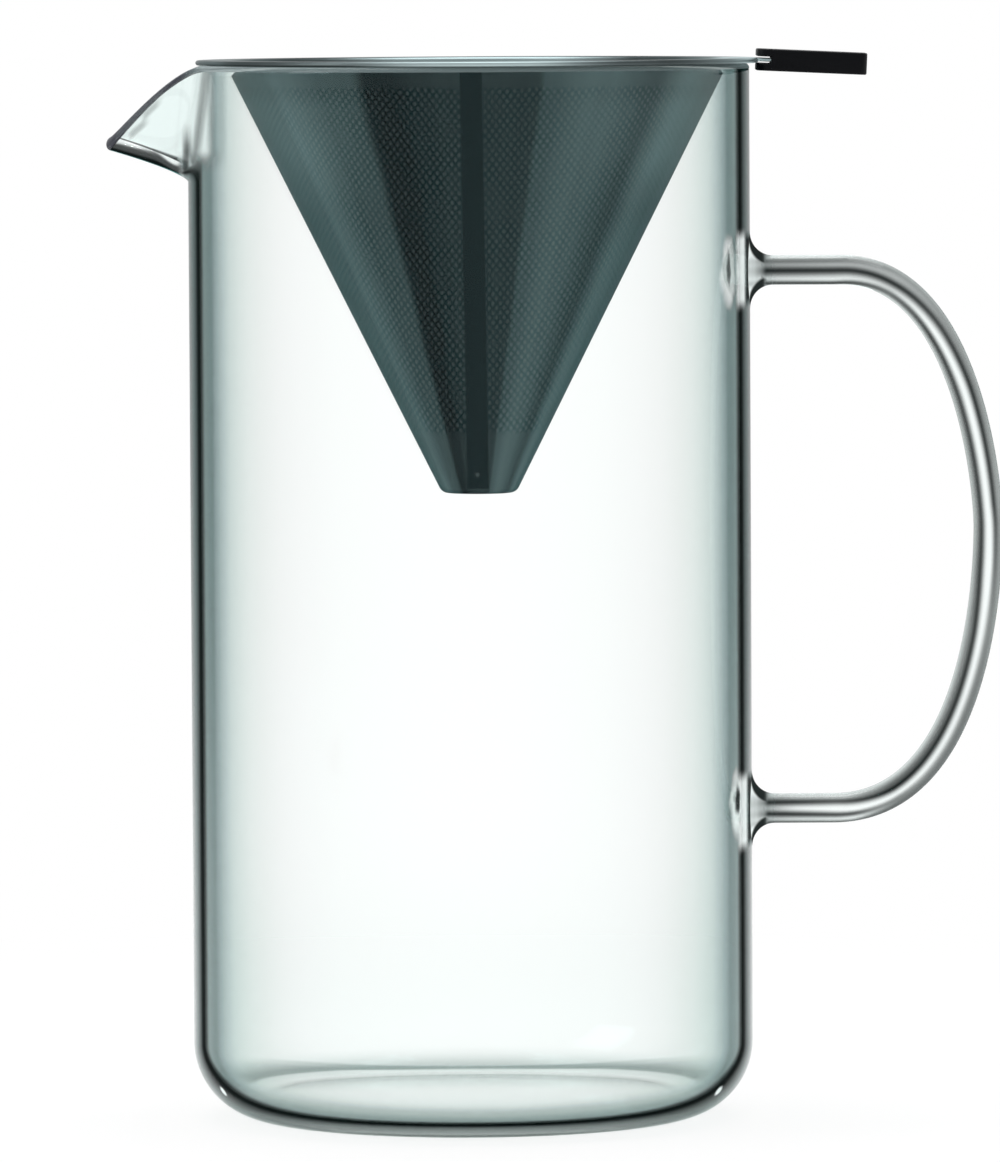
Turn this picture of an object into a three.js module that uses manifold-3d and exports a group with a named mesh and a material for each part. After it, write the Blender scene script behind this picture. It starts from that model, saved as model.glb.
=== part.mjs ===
// Glass coffee jug with a pulled pouring spout and a fused rod handle, and the
// steel cone filter that hangs in its mouth by a flange with a grip on a tongue.
// Units are millimetres. +Z is up, +X points along the handle, -X along the spout.
// The origin is the centre of the flat base.

import * as THREE from "three";
import { mergeVertices } from "three/addons/utils/BufferGeometryUtils.js";
import Module from "manifold-3d";

const wasm = await Module();
wasm.setup();

const degrees = THREE.MathUtils.degToRad;

// Driving dimensions

// Glass vessel
const JUG_DIAMETER = 110.4;
const JUG_HEIGHT = 207.6;
const GLASS_WALL = 2.1;
const BASE_THICKNESS = 3;
const BASE_CORNER_RADIUS = 15.2;

// Pouring spout, pulled out of the rim while the glass is soft
const SPOUT_REACH = 16.4;
const SPOUT_LIP_DROP = 16.3;
const SPOUT_THROAT_DEPTH = 22.8;
const SPOUT_TIP_WALL = 2.8;
const SPOUT_HALF_ANGLE = degrees(18);
const SPOUT_FLARE_POWER = 1.37;
const SPOUT_LIP_POWER = 1.3;
const SPOUT_RING_POWER = 1.6;

// Handle, one bent glass rod with both ends flared on to the wall
const HANDLE_ROD_DIAMETER = 5.9;
const HANDLE_TOP_HEIGHT = 166.8;
const HANDLE_BOTTOM_HEIGHT = 60.6;
const HANDLE_REACH = 46.8;
const HANDLE_FOOT_DIAMETER = 15.2;
const HANDLE_FOOT_LENGTH = 4.4;
const HANDLE_FOOT_EDGE = 0.4;

// Cone filter, which hangs clear of the vessel's inner face
const CONE_MOUTH_CLEARANCE = 3.6;
const CONE_TIP_DIAMETER = 14.6;
const CONE_DEPTH = 84.6;
const CONE_CORNER_RADIUS = 1.9;
const CONE_SHEET = 0.4;
const CONE_LIP_DIAMETER = 8.4;
const SEAM_WIDTH = 4.2;
const SEAM_RISE = 0.35;
const SEAM_TURN = degrees(-1.5);
const LINER_SHEET = 0.3;
const CAP_SHEET = 0.5;
const CAP_HEIGHT = 7;

// Flange that carries the filter on the rim, with the skirt pressed down from it
const FLANGE_OVERHANG = 0.2;
const FLANGE_SHEET = 0.7;
const SKIRT_DEPTH = 4.5;
const FLANGE_BEND_RADIUS = 0.3;
const FILTER_SHIFT = 1.7;

// Tongue of the flange and the grip pushed on to it
const TONGUE_WIDTH = 9;
const TONGUE_LENGTH = 17;
const TONGUE_ROOT = 2.5;
const TONGUE_TILT = degrees(2.7);
const TONGUE_HOLE_DIAMETER = 4;
const TONGUE_HOLE_PLACE = 11;
const GRIP_LENGTH = 21.7;
const GRIP_WIDTH = 13;
const GRIP_THICKNESS = 4.3;
const GRIP_CORNER_RADIUS = 2;
const GRIP_EDGE_RADIUS = 0.5;
const GRIP_OVERLAP = 0.5;
const GRIP_SLOT_DEPTH = 2.9;

// Clearances and construction aids
const FIT_GAP = 0.3;
const CUT_OVERRUN = 1;
const WELD_DISTANCE = 0.001;
const SLOPE_STEP_SHARE = 0.002;

// Centre line of the handle's bow: how far out from the wall and how far up from
// the lower arm each control point lies, as shares of the reach and of the height
const HANDLE_BOW_SHARES = [
  [0.38, 1],
  [0.93, 1],
  [1, 0.58],
  [1, 0.525],
  [1, 0.455],
  [0.975, 0],
  [0.345, 0],
];

// Counts of facets
const JUG_SEGMENTS = 80;
const SPOUT_RINGS = 8;
const SPOUT_CROWDING_SHARE = 0.45;
const CORNER_STEPS = 5;
const EDGE_STEPS = 3;
const FLARE_STEPS = 8;
const CONE_SEGMENTS = 60;
const FLANGE_SEGMENTS = 72;
const CIRCLE_HALF_SIDES = 6;
const BOW_STEPS = 48;
const FOOT_SEGMENTS = 24;

// Worked out from the driving dimensions
const JUG_RADIUS = JUG_DIAMETER / 2;
const THROAT_HEIGHT = JUG_HEIGHT - SPOUT_THROAT_DEPTH;
const ROD_RADIUS = HANDLE_ROD_DIAMETER / 2;
const BOW_HEIGHT = HANDLE_TOP_HEIGHT - HANDLE_BOTTOM_HEIGHT;
const CONE_MOUTH_RADIUS = JUG_RADIUS - GLASS_WALL - CONE_MOUTH_CLEARANCE;
const CONE_TIP_RADIUS = CONE_TIP_DIAMETER / 2;
const CONE_HALF_ANGLE = Math.atan((CONE_MOUTH_RADIUS - CONE_TIP_RADIUS) / CONE_DEPTH);
const NESTED_DEPTH = CONE_SHEET + FIT_GAP;
const CAP_TOP = -CONE_DEPTH + CAP_HEIGHT;
const FLANGE_RADIUS = JUG_RADIUS + FLANGE_OVERHANG;
const GRIP_START = FLANGE_RADIUS - GRIP_OVERLAP;
const SLOT_HEIGHT = FLANGE_SHEET + 2 * FIT_GAP;

// Geometry helpers

// Points along an arc in an outline, both ends included.
function arcPoints(centre, radius, from, to, steps) {
  return Array.from({ length: steps + 1 }, (_, i) => {
    const angle = THREE.MathUtils.lerp(from, to, i / steps);
    return new THREE.Vector2(
      centre.x + radius * Math.cos(angle),
      centre.y + radius * Math.sin(angle),
    );
  });
}

// A profile of points at a distance from the Z axis and a height, turned full circle.
function revolve(points, segments) {
  return new THREE.LatheGeometry(points, segments).rotateX(Math.PI / 2);
}

// A closed geometry as a solid that can be joined and cut.
function toSolid(geometry) {
  const bare = geometry.index ? geometry.toNonIndexed() : geometry.clone();
  bare.deleteAttribute("normal");
  bare.deleteAttribute("uv");
  const merged = mergeVertices(bare, WELD_DISTANCE);
  const corners = merged.index.array;
  const kept = [];
  for (let i = 0; i < corners.length; i += 3) {
    const [a, b, c] = corners.slice(i, i + 3);
    if (a !== b && b !== c && c !== a) kept.push(a, b, c);
  }
  return new wasm.Manifold(
    new wasm.Mesh({
      numProp: 3,
      vertProperties: new Float32Array(merged.attributes.position.array),
      triVerts: new Uint32Array(kept),
    }),
  );
}

// A solid back as a geometry.
function toGeometry(solid) {
  const mesh = solid.getMesh();
  const geometry = new THREE.BufferGeometry();
  geometry.setAttribute("position", new THREE.BufferAttribute(mesh.vertProperties, 3));
  geometry.setIndex(new THREE.BufferAttribute(mesh.triVerts, 1));
  geometry.computeVertexNormals();
  return geometry;
}

function piece(name, solid, finish) {
  const mesh = new THREE.Mesh(toGeometry(solid), new THREE.MeshStandardMaterial(finish));
  mesh.name = name;
  return mesh;
}

// Glass vessel

// How much of the pull acts at an azimuth from the middle of the spout: all of it in
// the middle, fading smoothly to none at the spout's edges.
function pullShare(azimuth) {
  const away = Math.min(Math.abs(azimuth) / SPOUT_HALF_ANGLE, 1);
  return (1 + Math.cos(Math.PI * away)) / 2;
}

// A point of the vessel's outer face after the pull, from its place on the plain
// cylinder. The wall leans out above the throat and the lip sinks with it.
function pulledPoint(azimuth, height) {
  const share = pullShare(azimuth);
  const rise = Math.max(0, (height - THROAT_HEIGHT) / SPOUT_THROAT_DEPTH);
  const radius = JUG_RADIUS + SPOUT_REACH * share * rise ** SPOUT_FLARE_POWER;
  return new THREE.Vector3(
    -radius * Math.cos(azimuth),
    radius * Math.sin(azimuth),
    height - SPOUT_LIP_DROP * share ** SPOUT_LIP_POWER * rise,
  );
}

// The outward direction square to the pulled face, from its slopes both ways.
function pulledNormal(azimuth, height) {
  const turn = SPOUT_HALF_ANGLE * SLOPE_STEP_SHARE;
  const climb = SPOUT_THROAT_DEPTH * SLOPE_STEP_SHARE;
  const along = pulledPoint(azimuth + turn, height).sub(pulledPoint(azimuth - turn, height));
  const up = pulledPoint(azimuth, height + climb).sub(pulledPoint(azimuth, height - climb));
  return up.cross(along).normalize();
}

// Draws the facets of a turned vessel together at the spout and pulls the spout out.
// Each point keeps its depth under the outer face, so the wall stays even, apart from
// the glass that gathers towards the tip.
function pullSpout(geometry) {
  const places = geometry.getAttribute("position");
  const point = new THREE.Vector3();
  for (let i = 0; i < places.count; i++) {
    point.fromBufferAttribute(places, i);
    const radius = Math.hypot(point.x, point.y);
    const turned = Math.atan2(point.y, -point.x);
    const azimuth = turned - SPOUT_CROWDING_SHARE * Math.sin(turned);
    if (point.z > THROAT_HEIGHT) {
      const rise = (point.z - THROAT_HEIGHT) / SPOUT_THROAT_DEPTH;
      const gathered = THREE.MathUtils.lerp(1, SPOUT_TIP_WALL / GLASS_WALL, pullShare(azimuth) * rise);
      const depth = (JUG_RADIUS - radius) * gathered;
      const inwards = pulledNormal(azimuth, point.z).multiplyScalar(-depth);
      point.copy(pulledPoint(azimuth, point.z)).add(inwards);
    } else {
      point.set(-radius * Math.cos(azimuth), radius * Math.sin(azimuth), point.z);
    }
    places.setXYZ(i, point.x, point.y, point.z);
  }
  return geometry;
}

// Heights of the rings between throat and rim, closest together at the throat bend.
function spoutRingHeights() {
  const top = JUG_HEIGHT - GLASS_WALL / 2;
  return Array.from({ length: SPOUT_RINGS }, (_, i) =>
    THREE.MathUtils.lerp(THROAT_HEIGHT, top, (i / SPOUT_RINGS) ** SPOUT_RING_POWER),
  );
}

function jugBody() {
  const innerRadius = JUG_RADIUS - GLASS_WALL;
  const cornerCentre = new THREE.Vector2(JUG_RADIUS - BASE_CORNER_RADIUS, BASE_CORNER_RADIUS);
  const innerCorner = BASE_CORNER_RADIUS - GLASS_WALL;
  const innerCentre = new THREE.Vector2(cornerCentre.x, BASE_THICKNESS + innerCorner);
  const rimCentre = new THREE.Vector2(JUG_RADIUS - GLASS_WALL / 2, JUG_HEIGHT - GLASS_WALL / 2);
  const rings = spoutRingHeights();
  const profile = [
    new THREE.Vector2(0, 0),
    ...arcPoints(cornerCentre, BASE_CORNER_RADIUS, -Math.PI / 2, 0, CORNER_STEPS),
    ...rings.map((height) => new THREE.Vector2(JUG_RADIUS, height)),
    ...arcPoints(rimCentre, GLASS_WALL / 2, 0, Math.PI, CORNER_STEPS),
    ...rings.reverse().map((height) => new THREE.Vector2(innerRadius, height)),
    ...arcPoints(innerCentre, innerCorner, 0, -Math.PI / 2, CORNER_STEPS),
    new THREE.Vector2(0, BASE_THICKNESS),
  ];
  return toSolid(pullSpout(revolve(profile, JUG_SEGMENTS)));
}

// Handle

// The bow's centre line: a straight arm off the wall, two bends and an arm back.
function bowPath() {
  const [shoulder, ...bends] = HANDLE_BOW_SHARES.map(
    ([out, up]) =>
      new THREE.Vector3(
        JUG_RADIUS + out * HANDLE_REACH,
        0,
        HANDLE_BOTTOM_HEIGHT + up * BOW_HEIGHT,
      ),
  );
  const heel = bends[bends.length - 1];
  const path = new THREE.CurvePath();
  path.add(new THREE.LineCurve3(new THREE.Vector3(JUG_RADIUS, 0, shoulder.z), shoulder));
  path.add(new THREE.CubicBezierCurve3(shoulder, bends[0], bends[1], bends[2]));
  path.add(new THREE.CubicBezierCurve3(bends[2], bends[3], bends[4], heel));
  path.add(new THREE.LineCurve3(heel, new THREE.Vector3(JUG_RADIUS, 0, heel.z)));
  return path;
}

function bowRod() {
  const section = new THREE.Shape().absarc(0, 0, ROD_RADIUS, 0, 2 * Math.PI);
  return toSolid(
    new THREE.ExtrudeGeometry(section, {
      extrudePath: bowPath(),
      steps: BOW_STEPS,
      curveSegments: CIRCLE_HALF_SIDES,
    }),
  );
}

// One flared foot, a trumpet along +X that starts inside the wall.
function handleFoot(height) {
  const footRadius = HANDLE_FOOT_DIAMETER / 2;
  const spread = footRadius - ROD_RADIUS;
  const edge = JUG_RADIUS + FIT_GAP + HANDLE_FOOT_EDGE;
  const neck = JUG_RADIUS + HANDLE_FOOT_LENGTH;
  const flare = arcPoints(new THREE.Vector2(0, 0), 1, Math.PI, Math.PI / 2, FLARE_STEPS).map(
    ({ x, y }) => new THREE.Vector2(footRadius - spread * y, neck + (neck - edge) * x),
  );
  const profile = [
    new THREE.Vector2(0, JUG_RADIUS - GLASS_WALL),
    new THREE.Vector2(footRadius, JUG_RADIUS - GLASS_WALL),
    ...flare,
    new THREE.Vector2(0, neck),
  ];
  const foot = revolve(profile, FOOT_SEGMENTS).rotateY(Math.PI / 2);
  return toSolid(foot.translate(0, 0, height));
}

// What the vessel fills at the handle, with the fit gap round it.
function wallClearance() {
  const radius = JUG_RADIUS + FIT_GAP;
  return toSolid(
    revolve(
      [
        new THREE.Vector2(0, 0),
        new THREE.Vector2(radius, 0),
        new THREE.Vector2(radius, JUG_HEIGHT),
        new THREE.Vector2(0, JUG_HEIGHT),
      ],
      2 * JUG_SEGMENTS,
    ),
  );
}

function jugHandle() {
  return bowRod()
    .add(handleFoot(HANDLE_TOP_HEIGHT))
    .add(handleFoot(HANDLE_BOTTOM_HEIGHT))
    .subtract(wallClearance());
}

// Cone filter, in a frame with its axis on Z and the flange's underside at zero

// Radius of the cone's wall at a height, a depth in from its outer face.
function slopeRadius(height, depth) {
  return CONE_MOUTH_RADIUS + height * Math.tan(CONE_HALF_ANGLE) - depth / Math.cos(CONE_HALF_ANGLE);
}

// One face of a layer of the cone: down the slope from the top, round the corner and
// in along the bottom to an inner radius.
function layerFace(depth, top, innerRadius) {
  const centreHeight = -CONE_DEPTH + CONE_CORNER_RADIUS;
  const centre = new THREE.Vector2(slopeRadius(centreHeight, CONE_CORNER_RADIUS), centreHeight);
  const radius = CONE_CORNER_RADIUS - depth;
  return [
    new THREE.Vector2(slopeRadius(top, depth), top),
    ...arcPoints(centre, radius, -CONE_HALF_ANGLE, -Math.PI / 2, EDGE_STEPS),
    new THREE.Vector2(innerRadius, -CONE_DEPTH + depth),
  ];
}

// A closed outline from the outer and the inner face of a layer, listed upwards on the
// outside so that the turned surface faces out.
function closedProfile(outer, inner) {
  const profile = [...outer.reverse(), ...inner];
  return [...profile, profile[0].clone()];
}

// The strip where the rolled sheet laps over itself, from the top edge to the corner.
function lapSeam() {
  const top = -FIT_GAP;
  const bottom = -CONE_DEPTH + CONE_CORNER_RADIUS;
  const strip = new THREE.Shape([
    new THREE.Vector2(slopeRadius(top, CONE_SHEET / 2), top),
    new THREE.Vector2(slopeRadius(top, -SEAM_RISE), top),
    new THREE.Vector2(slopeRadius(bottom, -SEAM_RISE), bottom),
    new THREE.Vector2(slopeRadius(bottom, CONE_SHEET / 2), bottom),
  ]);
  const geometry = new THREE.ExtrudeGeometry(strip, { depth: SEAM_WIDTH, bevelEnabled: false });
  geometry.translate(0, 0, -SEAM_WIDTH / 2);
  geometry.rotateX(Math.PI / 2);
  return toSolid(geometry.rotateZ(-Math.PI / 2 + SEAM_TURN));
}

function perforatedCone() {
  const lip = CONE_LIP_DIAMETER / 2;
  const outer = layerFace(0, -FIT_GAP, lip);
  const inner = layerFace(CONE_SHEET, -FIT_GAP, lip);
  return toSolid(revolve(closedProfile(outer, inner), CONE_SEGMENTS)).add(lapSeam());
}

function meshLiner() {
  const top = -SKIRT_DEPTH - FIT_GAP;
  const bottom = CAP_TOP + FIT_GAP;
  const face = (depth) => [top, bottom].map((z) => new THREE.Vector2(slopeRadius(z, depth), z));
  const profile = closedProfile(face(NESTED_DEPTH), face(NESTED_DEPTH + LINER_SHEET));
  return toSolid(revolve(profile, CONE_SEGMENTS));
}

function tipCap() {
  const outer = layerFace(NESTED_DEPTH, CAP_TOP, 0);
  const inner = layerFace(NESTED_DEPTH + CAP_SHEET, CAP_TOP, 0);
  return toSolid(revolve([...outer.reverse(), ...inner], CONE_SEGMENTS));
}

// Flange, tongue and grip

function flangeRing() {
  const innerDepth = NESTED_DEPTH + FLANGE_SHEET;
  const half = FLANGE_SHEET / 2;
  const rise = Math.PI / 2 - CONE_HALF_ANGLE;
  const bend = FLANGE_BEND_RADIUS;
  const bendCentre = new THREE.Vector2(slopeRadius(-bend, NESTED_DEPTH - bend), -bend);
  const edgeCentre = new THREE.Vector2(FLANGE_RADIUS - half, half);
  const outer = [
    new THREE.Vector2(slopeRadius(-SKIRT_DEPTH, NESTED_DEPTH), -SKIRT_DEPTH),
    ...arcPoints(bendCentre, bend, Math.PI / 2 + rise, Math.PI / 2, EDGE_STEPS),
    ...arcPoints(edgeCentre, half, -Math.PI / 2, Math.PI / 2, EDGE_STEPS),
  ];
  const inner = [
    ...arcPoints(bendCentre, bend + FLANGE_SHEET, Math.PI / 2, Math.PI / 2 + rise, EDGE_STEPS),
    new THREE.Vector2(slopeRadius(-SKIRT_DEPTH, innerDepth), -SKIRT_DEPTH),
  ];
  const profile = [...outer, ...inner, outer[0].clone()];
  return toSolid(revolve(profile, FLANGE_SEGMENTS));
}

// Moves what is built along +X from the grip's inner end, level with the middle of the
// sheet, to its place on the flange and tilts it there.
function onTongue(geometry) {
  return geometry.rotateY(TONGUE_TILT).translate(GRIP_START, 0, FLANGE_SHEET / 2);
}

// An upright prism from a plan outline, half its height to each side of the sheet's middle.
function prism(outline, height, settings = { bevelEnabled: false }) {
  const geometry = new THREE.ExtrudeGeometry(outline, { depth: height, ...settings });
  return onTongue(geometry.translate(0, 0, -height / 2));
}

function rectangle(from, to, width) {
  const half = width / 2;
  return new THREE.Shape([
    new THREE.Vector2(from, -half),
    new THREE.Vector2(to, -half),
    new THREE.Vector2(to, half),
    new THREE.Vector2(from, half),
  ]);
}

function disc(place, diameter) {
  return new THREE.Shape().absarc(place, 0, diameter / 2, 0, 2 * Math.PI);
}

// The tongue's bent strip, seen from the side and drawn out across its width: flat in
// the flange at its root, tilted past the bend, with a hole for the grip's peg.
function tongue() {
  const half = FLANGE_SHEET / 2;
  const end = new THREE.Vector2(Math.cos(TONGUE_TILT), -Math.sin(TONGUE_TILT));
  const side = new THREE.Vector2(Math.sin(TONGUE_TILT), Math.cos(TONGUE_TILT));
  const bent = (out, up) =>
    new THREE.Vector2(end.x * out + side.x * up, end.y * out + side.y * up);
  const strip = new THREE.Shape([
    new THREE.Vector2(-TONGUE_ROOT, -half),
    new THREE.Vector2(0, -half),
    bent(TONGUE_LENGTH, -half),
    bent(TONGUE_LENGTH, half),
    new THREE.Vector2(0, half),
    new THREE.Vector2(-TONGUE_ROOT, half),
  ]);
  const geometry = new THREE.ExtrudeGeometry(strip, { depth: TONGUE_WIDTH, bevelEnabled: false });
  geometry.translate(0, 0, -TONGUE_WIDTH / 2);
  geometry.rotateX(Math.PI / 2).translate(GRIP_START, 0, half);
  const hole = prism(disc(TONGUE_HOLE_PLACE, TONGUE_HOLE_DIAMETER), FLANGE_SHEET + 2 * CUT_OVERRUN);
  return toSolid(geometry).subtract(toSolid(hole));
}

function filterFlange() {
  return flangeRing().add(tongue());
}

// Plan of the grip with rounded corners, drawn in by the rounding of its edges.
function gripOutline() {
  const inset = GRIP_EDGE_RADIUS;
  const half = GRIP_WIDTH / 2 - inset;
  const [near, far] = [inset, GRIP_LENGTH - inset];
  const radius = GRIP_CORNER_RADIUS - inset;
  const corners = [
    [near + radius, -half + radius, Math.PI],
    [far - radius, -half + radius, 1.5 * Math.PI],
    [far - radius, half - radius, 0],
    [near + radius, half - radius, 0.5 * Math.PI],
  ];
  return new THREE.Shape(
    corners.flatMap(([x, y, from]) =>
      arcPoints(new THREE.Vector2(x, y), radius, from, from + Math.PI / 2, CORNER_STEPS),
    ),
  );
}

function tabGrip() {
  const rounded = {
    bevelEnabled: true,
    bevelSize: GRIP_EDGE_RADIUS,
    bevelThickness: GRIP_EDGE_RADIUS,
    bevelSegments: EDGE_STEPS,
  };
  const block = toSolid(prism(gripOutline(), GRIP_THICKNESS - 2 * GRIP_EDGE_RADIUS, rounded));
  const slot = rectangle(-CUT_OVERRUN, GRIP_SLOT_DEPTH, GRIP_WIDTH + 2 * CUT_OVERRUN);
  const pocket = rectangle(0, TONGUE_LENGTH + FIT_GAP, TONGUE_WIDTH + 2 * FIT_GAP);
  const peg = disc(TONGUE_HOLE_PLACE, TONGUE_HOLE_DIAMETER - 2 * FIT_GAP);
  return block
    .subtract(toSolid(prism(slot, SLOT_HEIGHT)))
    .subtract(toSolid(prism(pocket, SLOT_HEIGHT)))
    .add(toSolid(prism(peg, (GRIP_THICKNESS + SLOT_HEIGHT) / 2)));
}

// Finishes

const GLASS = { color: 0xdfe9e7, roughness: 0.03, metalness: 0, transparent: true, opacity: 0.3 };
const SATIN_STEEL = { color: 0x8b9294, roughness: 0.35, metalness: 1 };
const ETCHED_STEEL = { color: 0x565f60, roughness: 0.45, metalness: 1 };
const WOVEN_STEEL = { color: 0x4a5152, roughness: 0.55, metalness: 1 };
const BLACK_POLYMER = { color: 0x0d0e11, roughness: 0.5, metalness: 0 };

const jug = new THREE.Group();
jug.add(piece("jug_body", jugBody(), GLASS), piece("jug_handle", jugHandle(), GLASS));

const filter = new THREE.Group();
filter.position.set(FILTER_SHIFT, 0, JUG_HEIGHT + FIT_GAP);
filter.add(
  piece("filter_flange", filterFlange(), SATIN_STEEL),
  piece("perforated_cone", perforatedCone(), ETCHED_STEEL),
  piece("mesh_liner", meshLiner(), WOVEN_STEEL),
  piece("tip_cap", tipCap(), SATIN_STEEL),
  piece("tab_grip", tabGrip(), BLACK_POLYMER),
);

const coffeeJug = new THREE.Group();
coffeeJug.add(jug, filter);

export default coffeeJug;
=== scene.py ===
"""Finish, light and camera for the glass coffee jug with its lift-out steel cone filter.
Lengths in the tables are millimetres; the scene itself is in metres.
+X points along the handle, -X along the spout, and the jug stands on z = 0."""

import math

import bmesh
import bpy
from mathutils import Matrix, Vector
from mathutils.geometry import interpolate_bezier


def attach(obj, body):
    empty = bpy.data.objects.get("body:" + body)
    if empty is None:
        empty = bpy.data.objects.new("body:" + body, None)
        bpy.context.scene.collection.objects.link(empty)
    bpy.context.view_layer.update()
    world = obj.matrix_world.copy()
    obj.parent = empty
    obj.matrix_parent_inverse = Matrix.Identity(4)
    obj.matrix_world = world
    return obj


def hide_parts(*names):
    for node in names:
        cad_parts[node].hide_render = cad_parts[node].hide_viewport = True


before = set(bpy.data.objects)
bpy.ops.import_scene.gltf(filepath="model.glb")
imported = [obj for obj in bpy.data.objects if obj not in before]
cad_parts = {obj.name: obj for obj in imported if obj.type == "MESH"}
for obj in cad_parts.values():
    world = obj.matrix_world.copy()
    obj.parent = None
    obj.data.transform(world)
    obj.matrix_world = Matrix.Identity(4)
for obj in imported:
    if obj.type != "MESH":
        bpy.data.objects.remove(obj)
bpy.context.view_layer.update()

MM = 0.001

# Glass vessel
JUG_RADIUS = 55.2
JUG_HEIGHT = 207.6
GLASS_WALL = 2.1
BASE_THICKNESS = 2.4
BASE_CORNER = 15.2
JUG_STEPS = 288
BASE_FLAT = 20
CORNER_STEPS = 24
RIM_STEPS = 14
LOW_RINGS = 5
MIDDLE_RINGS = 12
# Which glass a face of the jug is given
OUTER, INNER, ROD, RIM = range(4)

# Spout
SPOUT_REACH = 16.4
SPOUT_LIP_DROP = 16.3
SPOUT_THROAT_DEPTH = 22.8
SPOUT_TIP_WALL = 2.8
SPOUT_HALF_ANGLE = math.radians(18)
SPOUT_FLARE_POWER = 1.37
SPOUT_LIP_POWER = 1.3
SPOUT_RINGS = 40
SPOUT_RING_POWER = 1.4
CROWDING = 0.45
THROAT_HEIGHT = JUG_HEIGHT - SPOUT_THROAT_DEPTH

# Handle
ROD_RADIUS = 2.92
HANDLE_TOP = 166.8
HANDLE_BOTTOM = 60.6
HANDLE_REACH = 46.8
FOOT_RADIUS = 7.6
FOOT_LENGTH = 4.4
FOOT_COLUMNS = 28
FOOT_ROWS = 20
FOOT_PATCH = 9.7
FOOT_RINGS = 18
FOOT_RING_POWER = 1.6
ARM_RINGS = 8
BOW_RINGS = 70
# Widths of the painted dark lines on each foot's fillets and neck, and their softness
FILLET_LINE = 2.5
FILLET_SOFTNESS = 0.9
NECK_LINE = 0.6
BOSS_RADIUS = 8.2
BOSS_DEPTH = 3.2
BOSS_POWER = 0.8
BOW_SHARES = [(0.38, 1), (0.93, 1), (1, 0.58), (1, 0.525), (1, 0.455), (0.975, 0), (0.345, 0)]
# Painted dark lines along the solid rod, painted shade and painted reflections: share of the way
# from the upper foot to the lower, place across the rod (-1 on the outer side of the bow, 1 on the
# inner), width and depth
PAINTED_ROD_LINES = [
    [(0, 0.02, 0.9, 0.98), (0.1, 0.02, 0.74, 0.97), (0.17, -0.05, 0.66, 0.97),
     (0.245, -0.27, 0.55, 0.93), (0.32, -0.4, 0.48, 0.95), (0.46, -0.4, 0.42, 0.92),
     (0.53, -0.5, 0.34, 0.65), (0.6, -0.55, 0.3, 0.25), (1, -0.55, 0.3, 0)],
    [(0, 0.87, 0.4, 0.92), (0.1, 0.9, 0.34, 0.95), (0.17, 0.68, 0.42, 0.82),
     (0.245, 0.64, 0.4, 0.92), (0.32, 0.56, 0.46, 0.9), (0.46, 0.52, 0.46, 0.92),
     (0.54, 0.48, 0.48, 0.92), (0.61, 0.35, 0.46, 0.93), (0.76, 0.3, 0.5, 0.96),
     (0.83, 0.28, 0.5, 0.985), (0.9, 0.5, 0.44, 0.9), (0.95, 0.47, 0.52, 0.96),
     (1, 0.45, 0.8, 0.98)],
    [(0, 0.9, 0.6, 0), (0.17, 0.9, 0.6, 0.1), (0.32, 0.85, 0.6, 0.45), (0.46, 0.82, 0.6, 0.5),
     (0.6, 0.68, 0.6, 0.68), (0.83, 0.58, 0.6, 0.78), (0.9, 0.8, 0.4, 0.3), (1, 0.8, 0.4, 0.3)],
    [(0, -0.62, 0.42, 0.8), (0.1, -0.63, 0.4, 0.78), (0.17, -0.76, 0.6, 0.66),
     (0.46, -0.8, 0.6, 0.62), (0.6, -0.75, 0.7, 0.7), (0.7, -0.75, 0.8, 0.78),
     (0.83, -0.82, 0.75, 0.84), (0.88, -0.97, 0.34, 0.85), (1, -0.95, 0.4, 0.9)],
    [(0, -0.45, 0.3, 0), (0.8, -0.45, 0.3, 0.25), (0.88, -0.42, 0.34, 0.9),
     (0.95, -0.35, 0.5, 0.96), (1, -0.3, 0.75, 0.98)],
]
ROD_STEPS = 2 * (FOOT_COLUMNS + FOOT_ROWS)

# Cone filter, hung from the rim
FILTER_SHIFT = 1.7
FILTER_TOP = JUG_HEIGHT + 0.3
MOUTH_RADIUS = 49.5
TIP_RADIUS = 7.3
CONE_DEPTH = 84.6
CONE_CORNER = 1.9
CONE_SHEET = 0.4
CONE_LIP_RADIUS = 4.2
CONE_SLOPE = math.atan((MOUTH_RADIUS - TIP_RADIUS) / CONE_DEPTH)
CONE_STEPS = 192
FIT_GAP = 0.3
SEAM_WIDTH = 4.2
SEAM_RISE = 0.33
SEAM_TURN = math.radians(-1.5)
NESTED = CONE_SHEET + FIT_GAP
LINER_SHEET = 0.3
CAP_SHEET = 0.5
CAP_DEPTH = 7
CAP_TOP = -CONE_DEPTH + CAP_DEPTH

# Flange, tongue and grip
FLANGE_RADIUS = 55.34
FLANGE_SHEET = 0.7
FLANGE_BEAD = 0.5
SKIRT_DEPTH = 4.5
FLANGE_BEND = 0.3
FLANGE_STEPS = 256
TONGUE_WIDTH = 9
TONGUE_LENGTH = 17
TONGUE_ROOT = 2.5
TONGUE_EDGE = 0.08
TONGUE_TILT = math.radians(2.7)
GRIP_LENGTH = 21.7
GRIP_WIDTH = 13
GRIP_THICKNESS = 4.28
GRIP_CORNER = 2
GRIP_EDGE = 0.3
GRIP_OVERLAP = 0.5
GRIP_START = FLANGE_RADIUS - GRIP_OVERLAP
SLOT_DEPTH = 2.9
SLOT_HEIGHT = FLANGE_SHEET + 2 * FIT_GAP

SMOOTH_LIMIT = math.radians(40)
SHARP_LIMIT = math.radians(50)


# Mesh helpers

def arc(centre, radius, start, stop, steps):
    """Points of an arc in a profile, angles in degrees, both ends included."""
    turns = [math.radians(start + (stop - start) * i / steps) for i in range(steps + 1)]
    return [(centre[0] + radius * math.cos(t), centre[1] + radius * math.sin(t)) for t in turns]


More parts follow.
